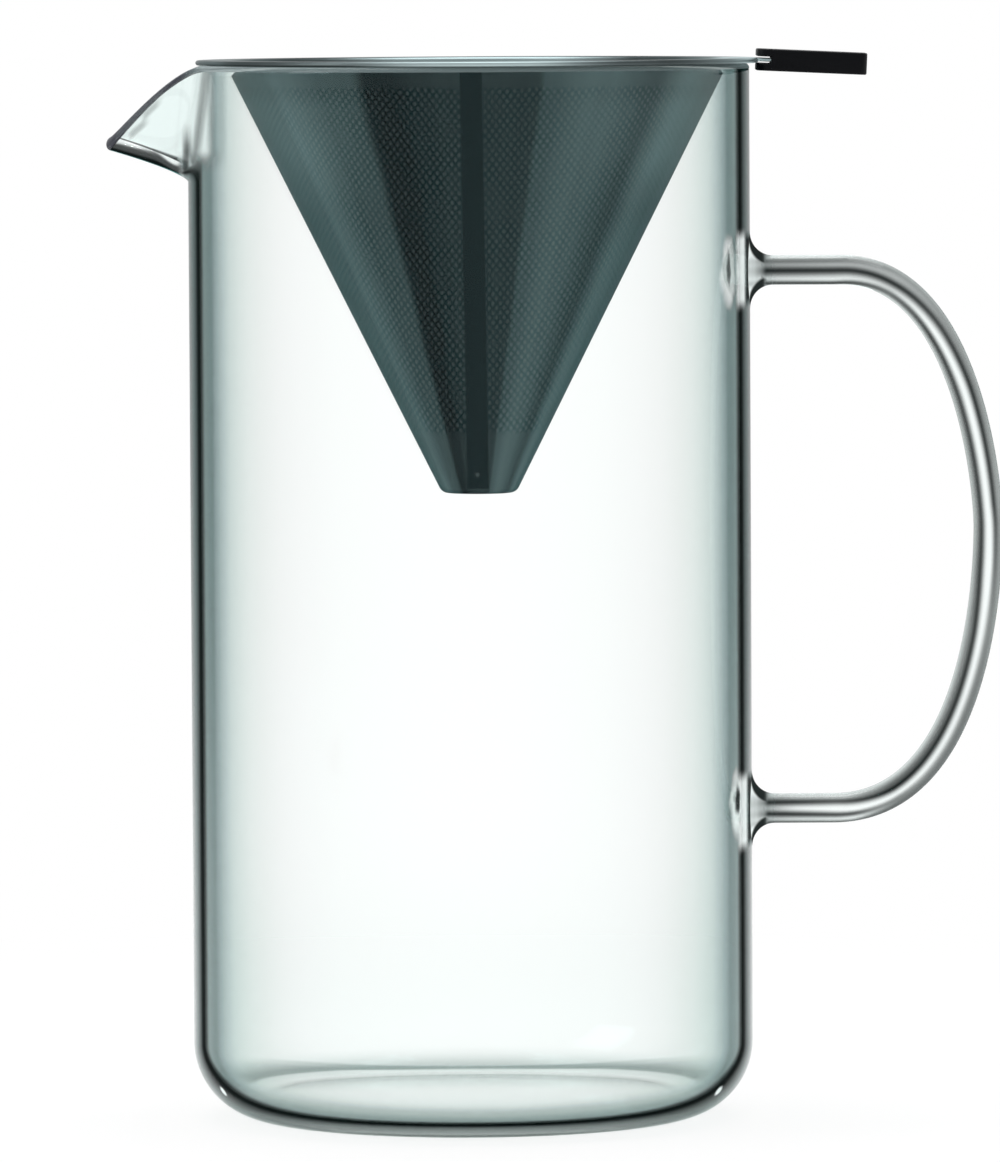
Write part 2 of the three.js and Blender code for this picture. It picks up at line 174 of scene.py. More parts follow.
def turned(profile, steps, closed=False):
    """A profile of (distance from the axis, height) points spun full circle."""
    bm = bmesh.new()
    corners = [bm.verts.new((r, 0, z)) for r, z in profile]
    edges = [bm.edges.new(pair) for pair in zip(corners, corners[1:])]
    if closed:
        edges.append(bm.edges.new((corners[-1], corners[0])))
    bmesh.ops.spin(
        bm, geom=corners + edges, cent=(0, 0, 0), axis=(0, 0, 1),
        angle=2 * math.pi, steps=steps, use_merge=True,
    )
    bmesh.ops.remove_doubles(bm, verts=bm.verts, dist=1e-5)
    bmesh.ops.dissolve_degenerate(bm, edges=bm.edges, dist=1e-5)
    bmesh.ops.recalc_face_normals(bm, faces=bm.faces)
    return bm


def finished(name, bm, body, slot, materials, *nodes):
    """The mesh as a piece in metres, smooth up to a fold, riding on its body."""
    bmesh.ops.scale(bm, vec=(MM, MM, MM), verts=bm.verts)
    for face in bm.faces:
        face.smooth = True
    for edge in bm.edges:
        edge.smooth = len(edge.link_faces) == 2 and edge.calc_face_angle() < SMOOTH_LIMIT
    mesh = bpy.data.meshes.new(name)
    bm.to_mesh(mesh)
    bm.free()
    for material in materials:
        mesh.materials.append(material)
    piece = bpy.data.objects.new(name, mesh)
    bpy.context.scene.collection.objects.link(piece)
    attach(piece, body)
    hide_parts(*nodes)


# Glass vessel

def pull_share(azimuth):
    """How much of the spout's pull reaches a bearing: 1 in its middle, 0 at its sides."""
    away = min(abs(azimuth) / SPOUT_HALF_ANGLE, 1)
    return (1 + math.cos(math.pi * away)) / 2


def pulled_point(azimuth, height):
    """A point of the outer face after the spout is pulled."""
    share = pull_share(azimuth)
    rise = max(0, (height - THROAT_HEIGHT) / SPOUT_THROAT_DEPTH)
    radius = JUG_RADIUS + SPOUT_REACH * share * rise ** SPOUT_FLARE_POWER
    drop = SPOUT_LIP_DROP * share ** SPOUT_LIP_POWER * rise
    return Vector((-radius * math.cos(azimuth), radius * math.sin(azimuth), height - drop))


def pulled_normal(azimuth, height):
    """The outward direction square to the pulled face."""
    along = pulled_point(azimuth + 0.001, height) - pulled_point(azimuth - 0.001, height)
    up = pulled_point(azimuth, height + 0.05) - pulled_point(azimuth, height - 0.05)
    return up.cross(along).normalized()


def crowded(angle):
    """Draws the facets together at the spout and at the handle."""
    return angle - CROWDING * math.sin(2 * angle) / 2


def boss_depth(azimuth, height):
    """How far the wall's inner face bulges inwards where a foot of the handle is fused on."""
    along = (math.pi - abs(azimuth)) * (JUG_RADIUS - GLASS_WALL)
    depth = 0
    for foot in (HANDLE_TOP, HANDLE_BOTTOM):
        away = min(math.hypot(along, height - foot) / BOSS_RADIUS, 1)
        depth += BOSS_DEPTH * ((1 + math.cos(math.pi * away)) / 2) ** BOSS_POWER
    return depth


def shape_wall(bm):
    """Pulls the spout out of the plain wall and raises a boss inside each foot."""
    for vert in bm.verts:
        x, y, z = vert.co
        radius = math.hypot(x, y)
        if radius < 0.001:
            continue
        azimuth = crowded(math.atan2(y, -x))
        if z > THROAT_HEIGHT and abs(azimuth) < SPOUT_HALF_ANGLE:
            rise = (z - THROAT_HEIGHT) / SPOUT_THROAT_DEPTH
            gathered = 1 + (SPOUT_TIP_WALL / GLASS_WALL - 1) * pull_share(azimuth) * rise
            depth = (JUG_RADIUS - radius) * gathered
            vert.co = pulled_point(azimuth, z) - pulled_normal(azimuth, z) * depth
        else:
            if abs(radius - JUG_RADIUS + GLASS_WALL) < 0.01:
                radius -= boss_depth(azimuth, z)
            vert.co = (-radius * math.cos(azimuth), radius * math.sin(azimuth), z)


def depth_in_glass(radius, height):
    """How deep under the vessel's outer face a point of the plain wall lies."""
    corner = JUG_RADIUS - BASE_CORNER
    if height >= BASE_CORNER:
        return JUG_RADIUS - radius
    if radius <= corner:
        return height
    return BASE_CORNER - math.hypot(radius - corner, BASE_CORNER - height)


def wall_rings():
    """Heights of the wall's rings between the base corner and the throat, close at the feet."""
    rings = []
    for foot in (HANDLE_BOTTOM, HANDLE_TOP):
        rings += [foot - FOOT_PATCH + 2 * FOOT_PATCH * i / FOOT_ROWS for i in range(FOOT_ROWS + 1)]
    low, high = HANDLE_BOTTOM + FOOT_PATCH, HANDLE_TOP - FOOT_PATCH
    below = HANDLE_BOTTOM - FOOT_PATCH
    for start, stop, count in ((BASE_CORNER, below, LOW_RINGS), (low, high, MIDDLE_RINGS)):
        rings += [start + (stop - start) * i / count for i in range(1, count)]
    return sorted(rings)


def blow_wall():
    """The vessel's wall and base, spun round, with its pulled spout; its faces are sorted
    into outer, inner and rim glass."""
    inner_corner = BASE_CORNER - GLASS_WALL
    lip = GLASS_WALL / 2
    top = JUG_HEIGHT - lip
    rises = [(i / SPOUT_RINGS) ** SPOUT_RING_POWER for i in range(SPOUT_RINGS)]
    rings = wall_rings() + [THROAT_HEIGHT + (top - THROAT_HEIGHT) * rise for rise in rises]
    corner = JUG_RADIUS - BASE_CORNER
    profile = [(0, 0), (BASE_FLAT, 0)]
    profile += arc((corner, BASE_CORNER), BASE_CORNER, -90, 0, CORNER_STEPS)
    profile += [(JUG_RADIUS, z) for z in rings]
    profile += arc((JUG_RADIUS - lip, top), lip, 0, 180, RIM_STEPS)
    profile += [(JUG_RADIUS - GLASS_WALL, z) for z in reversed(rings)]
    inner_centre = (corner, BASE_THICKNESS + inner_corner)
    profile += arc(inner_centre, inner_corner, 0, -90, CORNER_STEPS)
    profile += [(BASE_FLAT, BASE_THICKNESS), (0, BASE_THICKNESS)]
    bm = turned(profile, JUG_STEPS)
    for face in bm.faces:
        place = face.calc_center_median()
        deep = depth_in_glass(math.hypot(place.x, place.y), place.z)
        face.material_index = INNER if deep > GLASS_WALL / 2 else OUTER
        if place.z > top:
            face.material_index = RIM
    shape_wall(bm)
    return bm


# Handle

def bow_line():
    """Points along the centre of the bent rod, from the upper foot to the lower."""
    rise = HANDLE_TOP - HANDLE_BOTTOM
    bow = [
        Vector((JUG_RADIUS + out * HANDLE_REACH, 0, HANDLE_BOTTOM + up * rise))
        for out, up in BOW_SHARES
    ]
    root = JUG_RADIUS + FOOT_LENGTH
    steps = [(i / FOOT_RINGS) ** FOOT_RING_POWER for i in range(FOOT_RINGS)]
    foot = [JUG_RADIUS + FOOT_LENGTH * step for step in steps]
    arm, heel = (
        [root + (end.x - root) * i / ARM_RINGS for i in range(ARM_RINGS)]
        for end in (bow[0], bow[-1])
    )
    line = [Vector((x, 0, HANDLE_TOP)) for x in foot + arm]
    line += interpolate_bezier(*bow[:4], BOW_RINGS)
    line += interpolate_bezier(*bow[3:], BOW_RINGS)[1:]
    line += [Vector((x, 0, HANDLE_BOTTOM)) for x in reversed(foot + heel)]
    return line


def rod_radius(reach):
    """The rod's radius at a distance out from the wall: it flares to a foot at the wall."""
    back = min(1, max(0, 1 - reach / FOOT_LENGTH))
    return ROD_RADIUS + (FOOT_RADIUS - ROD_RADIUS) * (1 - math.sqrt(1 - back * back))


def ring_frame(line, i):
    """Where ring i lies: its plane is square to the rod and its size is the rod's radius."""
    ahead = (line[min(i + 1, len(line) - 1)] - line[max(i - 1, 0)]).normalized()
    side = Vector((0, 1, 0))
    out = side.cross(ahead).normalized()
    turn = Matrix((out, side, ahead)).transposed().to_4x4()
    radius = rod_radius(line[i].x - JUG_RADIUS)
    return Matrix.Translation(line[i]) @ turn @ Matrix.Diagonal((radius, radius, 1, 1))


def between(stops, share):
    """Values of a table between its two nearest stops."""
    for low, high in zip(stops, stops[1:]):
        if share <= high[0]:
            part = (share - low[0]) / (high[0] - low[0])
            return [a + (b - a) * part for a, b in zip(low[1:], high[1:])]
    return stops[-1][1:]


def line_depth(share, across):
    """How deep the rod's painted dark lines are at a place across it."""
    clear = 1
    for stops in PAINTED_ROD_LINES:
        place, width, depth = between(stops, share)
        away = min(1, abs(across - place) / width)
        clear *= 1 - depth * (1 + math.cos(math.pi * away)) / 2
    return 1 - clear


def painted_fillet_shade(reach, across, radius):
    """How deep the painted shade on a foot is at its dark fillets, above and below, and at its
    neck.
    """
    into = min(1, max(0, 2.4 * (1 - reach / FOOT_LENGTH)))
    inside = FILLET_LINE * (0.4 + 0.6 * into) - (1 - abs(across)) * radius
    edge = min(1, max(0, inside / FILLET_SOFTNESS))
    neck = max(0, 1 - abs(reach - 0.55 * FOOT_LENGTH) / NECK_LINE)
    return max(0.98 * into * edge * edge * (3 - 2 * edge), 0.8 * neck)


def sink_feet(verts):
    """Lays the ends of the rod on the round of the wall."""
    for vert in verts:
        reach = vert.co.x - JUG_RADIUS
        if reach < FOOT_LENGTH:
            sunk = JUG_RADIUS - math.sqrt(JUG_RADIUS * JUG_RADIUS - vert.co.y * vert.co.y)
            vert.co.x -= sunk * (1 - max(0, reach) / FOOT_LENGTH)


def draw_rod():
    """Draws the open rod ring by ring along its bow, and gives it with its two end rings."""
    bm = bmesh.new()
    line = bow_line()
    walked = [0]
    for here, ahead in zip(line, line[1:]):
        walked.append(walked[-1] + (ahead - here).length)
    # Each point of the rod keeps how deep its painted dark lines and painted fillet shade are
    depth = bm.verts.layers.float.new("line_depth")
    verts = bmesh.ops.create_circle(bm, segments=ROD_STEPS, radius=1)["verts"]
    edges = list(bm.edges)
    bmesh.ops.transform(bm, matrix=ring_frame(line, 0), verts=verts)
    first = list(edges)
    drawn = []
    for i in range(len(line)):
        home = ring_frame(line, i)
        if i > 0:
            made = bmesh.ops.extrude_edge_only(bm, edges=edges)["geom"]
            edges = [g for g in made if isinstance(g, bmesh.types.BMEdge) and g.is_boundary]
            verts = list({v for e in edges for v in e.verts})
            step = home @ ring_frame(line, i - 1).inverted()
            bmesh.ops.transform(bm, matrix=step, verts=verts)
        reach = line[i].x - JUG_RADIUS
        radius = rod_radius(reach)
        clear = 1 - 0.6 * min(1, max(0, 1.4 - 2 * reach / FOOT_LENGTH))
        share = walked[i] / walked[-1]
        for vert in verts:
            across = (home.inverted() @ vert.co).x
            lines = line_depth(share, across * radius / ROD_RADIUS) * clear
            vert[depth] = max(lines, painted_fillet_shade(reach, across, radius))
        drawn += verts
    sink_feet(drawn)
    for face in bm.faces:
        face.material_index = ROD
    return bm, first, edges


def open_patch(bm, foot):
    """Cuts the wall's outer face open round a foot and gives the cut's edges."""
    edge_of_patch = crowded(math.pi - (FOOT_COLUMNS + 1) * math.pi / JUG_STEPS)
    reach = math.sin(edge_of_patch) * JUG_RADIUS
    inside = set()
    for face in bm.faces:
        place = face.calc_center_median()
        near = place.x > 0 and abs(place.y) < reach and abs(place.z - foot) < FOOT_PATCH
        if near and face.material_index == OUTER:
            inside.add(face)
    cut = [e for e in bm.edges if sum(f in inside for f in e.link_faces) == 1]
    bmesh.ops.delete(bm, geom=[f for f in bm.faces if f in inside], context="FACES")
    return cut


def fuse_foot(bm, ring, foot):
    """Joins a foot's ring to the wall, with the join laid on the wall's round."""
    skirt = bmesh.ops.bridge_loops(bm, edges=open_patch(bm, foot) + ring)
    for face in skirt["faces"]:
        face.material_index = OUTER
    made = bmesh.ops.subdivide_edges(bm, edges=skirt["edges"], cuts=3, use_grid_fill=True)
    for vert in [g for g in made["geom_inner"] if isinstance(g, bmesh.types.BMVert)]:
        vert.co.x = math.sqrt(JUG_RADIUS * JUG_RADIUS - vert.co.y * vert.co.y)


def blow_jug(*glasses):
    """The glass vessel with its bent rod handle fused on by two flared feet."""
    wall = blow_wall()
    mesh = bpy.data.meshes.new("blown_wall")
    wall.to_mesh(mesh)
    wall.free()
    bm, upper, lower = draw_rod()
    bm.from_mesh(mesh)
    bpy.data.meshes.remove(mesh)
    fuse_foot(bm, upper, HANDLE_TOP)
    fuse_foot(bm, lower, HANDLE_BOTTOM)
    bmesh.ops.recalc_face_normals(bm, faces=bm.faces)
    finished("blown_jug", bm, "jug", "clear_glass", glasses, "jug_body", "jug_handle")


# Cone filter, worked in its own frame with the flange's underside at zero

def hang(bm):
    """Moves a filter piece from its own frame to its place on the rim."""
    bmesh.ops.translate(bm, vec=(FILTER_SHIFT, 0, FILTER_TOP), verts=bm.verts)
    return bm


def slope_radius(height, depth):
    """Radius of the cone's wall at a height, a depth in from its outer face."""
    return MOUTH_RADIUS + height * math.tan(CONE_SLOPE) - depth / math.cos(CONE_SLOPE)


def layer_face(depth, top, inner_radius):
    """One face of a layer of the cone, down the slope and in along the bottom."""
    centre_height = -CONE_DEPTH + CONE_CORNER
    centre = (slope_radius(centre_height, CONE_CORNER), centre_height)
    face = [(slope_radius(top, depth), top)]
    face += arc(centre, CONE_CORNER - depth, -math.degrees(CONE_SLOPE), -90, 8)
    return face + [(inner_radius, -CONE_DEPTH + depth)]


def lap_strip():
    """The strip where the rolled sheet laps over itself, curved to the cone."""
    bm = bmesh.new()
    bmesh.ops.create_grid(bm, x_segments=10, y_segments=60, size=0.5)
    top = -FIT_GAP
    bottom = -CONE_DEPTH + CONE_CORNER * 0.6
    for vert in bm.verts:
        height = bottom + (top - bottom) * (vert.co.y + 0.5)
        radius = slope_radius(height, -SEAM_RISE)
        turn = SEAM_TURN + vert.co.x * SEAM_WIDTH / radius
        vert.co = (radius * math.sin(turn), -radius * math.cos(turn), height)
    bmesh.ops.recalc_face_normals(bm, faces=bm.faces)
    if sum(face.normal.y for face in bm.faces) > 0:
        bmesh.ops.reverse_faces(bm, faces=bm.faces)
    bmesh.ops.solidify(bm, geom=bm.faces, thickness=SEAM_RISE + CONE_SHEET / 2)
    return bm


def roll_cone(sheet, seam):
    """The perforated sheet, rolled into a cone and lapped, with its end rolled in."""
    outer = layer_face(0, -FIT_GAP, CONE_LIP_RADIUS)
    inner = layer_face(CONE_SHEET, -FIT_GAP, CONE_LIP_RADIUS)
    bm = turned(outer[::-1] + inner, CONE_STEPS, closed=True)
    finished("rolled_cone", hang(bm), "filter", "perforated_steel", [sheet], "perforated_cone")
    finished("lap_seam", hang(lap_strip()), "filter", "perforated_steel", [seam])


def weave_liner(mesh):
    """The woven cone inside the perforated one."""
    top = -SKIRT_DEPTH - FIT_GAP
    bottom = CAP_TOP + FIT_GAP
    outer = [(slope_radius(z, NESTED), z) for z in (bottom, top)]
    inner = [(slope_radius(z, NESTED + LINER_SHEET), z) for z in (top, bottom)]
    bm = turned(outer + inner, CONE_STEPS, closed=True)
    finished("woven_liner", hang(bm), "filter", "woven_steel", [mesh], "mesh_liner")


def press_cap(steel):
    """The cup that closes the cone's end."""
    outer = layer_face(NESTED, CAP_TOP, 0)
    inner = layer_face(NESTED + CAP_SHEET, CAP_TOP, 0)
    bm = turned(outer[::-1] + inner, CONE_STEPS)
    finished("pressed_cap", hang(bm), "filter", "flange_steel", [steel], "tip_cap")


def press_flange(steel):
    """The flat ring on the rim, with the skirt bent down from it into the cone."""
    inner_depth = NESTED + FLANGE_SHEET
    bead = (FLANGE_RADIUS - FLANGE_BEAD, FLANGE_SHEET - FLANGE_BEAD)
    drop = math.degrees(math.asin(bead[1] / FLANGE_BEAD))
    rise = 90 - math.degrees(CONE_SLOPE)
    bend = (slope_radius(-FLANGE_BEND, NESTED - FLANGE_BEND), -FLANGE_BEND)
    outer = [(slope_radius(-SKIRT_DEPTH, NESTED), -SKIRT_DEPTH)]
    outer += arc(bend, FLANGE_BEND, 90 + rise, 90, 6)
    outer += arc(bead, FLANGE_BEAD, drop - 180, 90, 14)
    inner = arc(bend, FLANGE_BEND + FLANGE_SHEET, 90, 90 + rise, 8)
    inner += [(slope_radius(-SKIRT_DEPTH, inner_depth), -SKIRT_DEPTH)]
    bm = turned(outer + inner, FLANGE_STEPS, closed=True)
    finished("pressed_flange", hang(bm), "filter", "flange_steel", [steel], "filter_flange")


def side_view(corners, width):
    """A plate drawn from the side as (out, up) corners and pulled out across its width."""
    bm = bmesh.new()
    face = bm.faces.new([bm.verts.new((x, -width / 2, z)) for x, z in corners])
    made = bmesh.ops.extrude_face_region(bm, geom=[face])["geom"]
    verts = [g for g in made if isinstance(g, bmesh.types.BMVert)]
    bmesh.ops.translate(bm, vec=(0, width, 0), verts=verts)
    bmesh.ops.recalc_face_normals(bm, faces=bm.faces)
    return bm


def round_edges(bm, edges, radius, steps):
    """Rounds edges to a radius."""
    bmesh.ops.bevel(
        bm, geom=edges, offset=radius, offset_type="OFFSET", segments=steps,
        profile=0.5, affect="EDGES", material=-1, clamp_overlap=True,
    )


def sharp_edges(bm):
    """The edges where a plate's faces meet about square."""
    return [edge for edge in bm.edges if edge.calc_face_angle() > SHARP_LIMIT]


def on_tongue(bm):
    """Tilts what is built along +X from the grip's inner end and sets it on the flange."""
    turn = Matrix.Rotation(TONGUE_TILT, 4, "Y")
    bmesh.ops.transform(bm, matrix=turn, verts=bm.verts)
    bmesh.ops.translate(bm, vec=(GRIP_START, 0, FLANGE_SHEET / 2), verts=bm.verts)
    return hang(bm)


def bend_tongue(steel):
    """The strip of the flange that reaches out over the handle side."""
    half = FLANGE_SHEET / 2
    root = -TONGUE_ROOT
    flat = math.tan(TONGUE_TILT) * TONGUE_ROOT
    corners = [(root, -half - flat), (0, -half), (TONGUE_LENGTH, -half)]
    corners += [(TONGUE_LENGTH, half), (0, half), (root, half - flat)]
    bm = side_view(corners, TONGUE_WIDTH)
    round_edges(bm, sharp_edges(bm), TONGUE_EDGE, 2)
    finished("bent_tongue", on_tongue(bm), "filter", "flange_steel", [steel])


def mould_grip(polymer):
    """The black grip, slotted at its inner end, with rounded corners and edges."""
    half = GRIP_THICKNESS / 2
    slot = SLOT_HEIGHT / 2
    corners = [(0, -half), (GRIP_LENGTH, -half), (GRIP_LENGTH, half), (0, half)]
    corners += [(0, slot), (SLOT_DEPTH, slot), (SLOT_DEPTH, -slot), (0, -slot)]
    bm = side_view(corners, GRIP_WIDTH)
    upright = []
    for edge in bm.edges:
        low, high = (vert.co for vert in edge.verts)
        if (low - high).xy.length < 1e-4 and abs(low.x - SLOT_DEPTH) > 1:
            upright.append(edge)
    round_edges(bm, upright, GRIP_CORNER, 8)
    round_edges(bm, sharp_edges(bm), GRIP_EDGE, 4)
    finished("moulded_grip", on_tongue(bm), "filter", "grip_polymer", [polymer], "tab_grip")


# Shader maths

class Wire:
    """A shader value that can stand in a Python sum."""

    def __init__(self, nodes, socket):
        self.nodes = nodes
        self.socket = socket

    def __add__(self, other):
        return self.nodes.maths("ADD", self, other)

    def __radd__(self, other):
        return self.nodes.maths("ADD", other, self)

    def __sub__(self, other):
        return self.nodes.maths("SUBTRACT", self, other)

    def __rsub__(self, other):
        return self.nodes.maths("SUBTRACT", other, self)

    def __mul__(self, other):
        return self.nodes.maths("MULTIPLY", self, other)

    def __rmul__(self, other):
        return self.nodes.maths("MULTIPLY", other, self)

    def __truediv__(self, other):
        return self.nodes.maths("DIVIDE", self, other)

    def __rtruediv__(self, other):
        return self.nodes.maths("DIVIDE", other, self)

    def __pow__(self, other):
        return self.nodes.maths("POWER", self, other)


class Nodes:
    """The nodes of one material or world."""

    def __init__(self, owner):
        owner.use_nodes = True
        self.tree = owner.node_tree
        self.tree.nodes.clear()

    def add(self, kind, settings=None, values=None, output=0):
        """A node of a kind with its settings, and values or wires for its sockets."""
        node = self.tree.nodes.new("ShaderNode" + kind)
        for key, setting in (settings or {}).items():
            if key == "stops":
                self.set_stops(node.color_ramp, setting)
            else:
                setattr(node, key, setting)
        for key, value in (values or {}).items():
            if isinstance(value, Wire):
                self.tree.links.new(value.socket, node.inputs[key])
            else:
                node.inputs[key].default_value = value
        return Wire(self, node.outputs[output]) if node.outputs else node

    def set_stops(self, ramp, stops):
        """Stops of a ramp as (place, colour or grey) pairs."""
        while len(ramp.elements) < len(stops):
            ramp.elements.new(1)
        for element, (place, tone) in zip(ramp.elements, stops):
            element.position = place
            element.color = (tone, tone, tone, 1) if isinstance(tone, (int, float)) else (*tone, 1)

    def maths(self, operation, *values):
        """One sum or function of shader values, such as ABSOLUTE or MAXIMUM."""
        return self.add("Math", {"operation": operation}, dict(enumerate(values)))

    def ramp(self, value, stops):
        """A colour or grey looked up in a ramp of stops."""
        return self.add("ValToRGB", {"stops": stops}, {"Fac": value})

    def smooth(self, value, low, high):
        """0 below low, 1 above high and a smooth rise between them."""
        settings = {"interpolation_type": "SMOOTHSTEP"}
        return self.add("MapRange", settings, {"Value": value, "From Min": low, "From Max": high})

    def until(self, value, low, high):
        """1 below low, 0 above high and a smooth fall between them."""
        return 1 - self.smooth(value, low, high)

    def near(self, value, low, high):
        """1 where a value is within low of zero, 0 where it is more than high away."""
        return self.until(self.maths("ABSOLUTE", value), low, high)

    def mix(self, factor, first, second):
        """Two colours mixed."""
        return self.add("Mix", {"data_type": "RGBA"}, {0: factor, 6: first, 7: second}, 2)

    def either(self, factor, first, second):
        """Two shaders mixed."""
        return self.add("MixShader", None, {0: factor, 1: first, 2: second})

    def place(self, shift=(0, 0, 0)):
        """A point of the piece in metres, from the middle of a shifted axis."""
        point = self.add("TexCoord", None, None, "Object")
        return self.add("Mapping", None, {"Vector": point, "Location": [-s for s in shift]})

    def parts(self, vector):
        """A vector's x, y and z."""
        node = self.add("SeparateXYZ", None, {0: vector}).socket.node
        return [Wire(self, node.outputs[i]) for i in range(3)]

    def noise(self, vector, scale, detail=3, roughness=0.5):
        """Soft cloudy noise from 0 to 1."""
        values = {"Vector": vector, "Scale": scale, "Detail": detail, "Roughness": roughness}
        return self.add("TexNoise", None, values)

    def facing(self):
        """0 where the surface is met square on, 1 where it is only grazed."""
        return self.add("LayerWeight", None, {"Blend": 0.5}, "Facing")

    def ray(self, kind):
        """1 for a kind of light path, such as Is Shadow Ray."""
        return self.add("LightPath", None, None, kind)

    def bump(self, height, distance, strength=1.0):
        """A normal bent by a height over a distance in metres."""
        values = {"Height": height, "Distance": distance, "Strength": strength}
        return self.add("Bump", None, values)

    def principled(self, **values):
        """The main shader, with its sockets named by keywords."""
        named = {key.replace("_", " "): value for key, value in values.items()}
        return self.add("BsdfPrincipled", None, named)

    def show(self, surface, target="OutputMaterial"):
        """Wires a shader to the output."""
        self.add(target, None, {"Surface": surface})


def material(name):
    """A new material and its empty node tree."""
    made = bpy.data.materials.new(name)
    return made, Nodes(made)


def rgb(red, green, blue):
    """A colour as it looks on screen, from 0 to 255, made ready for a colour socket."""
    def straight(value):
        share = value / 255
        return share / 12.92 if share <= 0.04045 else ((share + 0.055) / 1.055) ** 2.4
    return (straight(red), straight(green), straight(blue), 1)


# Glass

GLASS_IOR = 1.47
# In metres, the heights where the base corner ends and the ways out where the spout begins
CORNER_END = (0.009, 0.0165)
SPOUT_ROOT = (0.0556, 0.0575)

# Painted shade of the wall: its tint by how far the outer face is turned away, 0 square on to 1
# grazed
PAINTED_WALL_SHADE = [
    (0.0, (0.969, 0.985, 0.981)),
    (0.12, (0.942, 0.962, 0.956)),
    (0.21, (0.893, 0.9, 0.9)),
    (0.27, (0.836, 0.846, 0.842)),
    (0.336, (0.738, 0.775, 0.757)),
    (0.387, (0.655, 0.725, 0.7)),
    (0.436, (0.531, 0.63, 0.6)),
    (0.481, (0.406, 0.515, 0.492)),
    (0.518, (0.255, 0.351, 0.342)),
    (0.56, (0.112, 0.181, 0.183)),
    (0.606, (0.0184, 0.0437, 0.0425)),
    (0.643, (0.0182, 0.0435, 0.0418)),
    (0.682, (0.0229, 0.0547, 0.0517)),
    (0.86, (0.28, 0.35, 0.34)),
    (1.0, (0.5, 0.58, 0.56)),
]
# Strength and tone of the painted dark line near the wall's edge
PAINTED_EDGE_LINE = [
    (0.0, 0.0), (0.675, 0.0), (0.704, 0.8), (0.728, 0.97), (0.755, 0.92), (0.785, 0.57),
    (0.82, 0.34), (0.866, 0.18), (0.94, 0.1), (1.0, 0.0),
]
PAINTED_LINE_TONE = [
    (0.755, rgb(6, 16, 15)[:3]), (0.79, rgb(30, 62, 60)[:3]), (0.83, rgb(60, 112, 110)[:3]),
    (1.0, rgb(160, 195, 192)[:3]),
]
# Tint of the painted shade in the lowest part of the base corner
PAINTED_CORNER_SHADE = [
    (0.41, (0.86, 0.91, 0.9)), (0.466, (0.74, 0.8, 0.79)), (0.518, (0.43, 0.5, 0.49)),
    (0.546, (0.31, 0.37, 0.36)), (0.592, (0.22, 0.28, 0.27)), (0.634, (0.13, 0.18, 0.17)),
    (0.67, (0.08, 0.12, 0.12)), (0.79, (0.1, 0.14, 0.14)), (0.846, (0.16, 0.21, 0.2)),
    (1.0, (0.2, 0.25, 0.24)),
]


def lit_through(nodes, surface):
    """Lets lamps shine through the glass, a little dimmed."""
    clear = nodes.add("BsdfTransparent", None, {"Color": (0.86, 0.9, 0.89, 1)})
    return nodes.either(nodes.ray("Is Shadow Ray"), surface, clear)


def solid_glass(nodes, tint, **values):
    """Clear glass of a tint, polished all over."""
    return nodes.principled(
        Base_Color=tint, Roughness=0.0, IOR=GLASS_IOR, Transmission_Weight=1.0, **values,
    )


def wall_glass(nodes, tint, loose):
    """The wall's thin glass, which hardly mirrors where it is met square on. Where it is
    loose, as in the spout, nothing behind it looks bent."""
    bent = solid_glass(nodes, tint, Specular_Tint=(0.2, 0.31, 0.33, 1))
    straight = nodes.add("BsdfTransparent", None, {"Color": (0.955, 0.985, 0.98, 1)})
    return nodes.either(loose * 0.94, bent, straight)


def painted_glow_glass(nodes, tint):
    """Pale glass that glows a little, a painted glow and painted highlight, as in a fused joint.
    """
    return nodes.principled(
        Base_Color=tint, Roughness=0.4,
        Emission_Color=(0.9, 1, 0.98, 1), Emission_Strength=0.25,
    )


def painted_shade_glass(nodes, tint, roughness=0.6):
    """Dull dark glass for painted shade and painted dark lines."""
    return nodes.principled(Base_Color=tint, Roughness=roughness, Specular_IOR_Level=0.0)


def base_corner(nodes, z):
    """1 in the vessel's rounded base corner, 0 in the wall above it."""
    return nodes.until(z, *CORNER_END)


def loose_wall(nodes, x, z):
    """1 in the spout and where the wall opens to it, above the throat."""
    high = nodes.smooth(z, (THROAT_HEIGHT + 1.5) * MM, (THROAT_HEIGHT + 6.5) * MM)
    opening = high * nodes.smooth(0.0 - x, 0.0485, 0.0515)
    return nodes.maths("MAXIMUM", opening, nodes.smooth(0.0 - x, *SPOUT_ROOT))


def oval(nodes, side, height, centre, size):
    """1 inside an oval on the wall, by distance round the wall and height, 0 outside it."""
    across = (side - centre[0] * MM) / (size[0] * MM)
    up = (height - centre[1] * MM) / (size[1] * MM)
    return nodes.until((across * across + up * up) ** 0.5, 0.5, 1.3)


def streak(nodes, x, z, foot, slope):
    """1 on a short soft streak that climbs in the side view from its foot, 0 off it."""
    along = x - foot[0] * MM
    off = z - foot[1] * MM - along * slope
    ends = nodes.smooth(along, -0.8 * MM, 0.4 * MM) * nodes.until(along, 2 * MM, 4 * MM)
    return nodes.near(off, 0.0002, 0.0013) * ends


